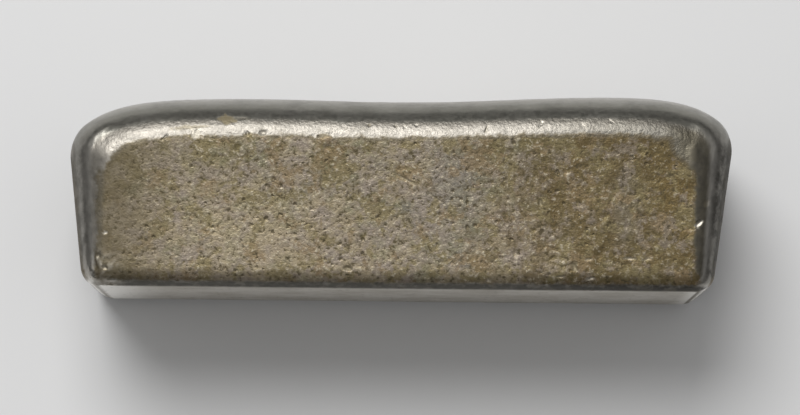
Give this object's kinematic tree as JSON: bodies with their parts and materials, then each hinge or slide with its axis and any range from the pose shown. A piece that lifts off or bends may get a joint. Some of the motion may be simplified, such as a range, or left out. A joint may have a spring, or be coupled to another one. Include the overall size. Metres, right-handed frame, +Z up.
{
  "type": "silver bar",
  "caption": "Hand-poured silver bar: a drafted ingot with rounded edges, rough mould-cast sides and a smooth, slightly sunken poured face, lying on one long side.",
  "frame": {"origin": "centre of the bar's outline on the surface it lies on", "axes": "+X along the length, towards the thicker end; +Y towards the poured face; +Z up, out of the upper long side"},
  "size_m": [0.0664, 0.0212, 0.0256],
  "materials": {
    "cast_silver": "as-cast silver, dulled with a warm tarnish, shiny on the rounded edges"
  },
  "bodies": {
    "root": {"silver_bar": "cast_silver"}
  },
  "joints": []
}
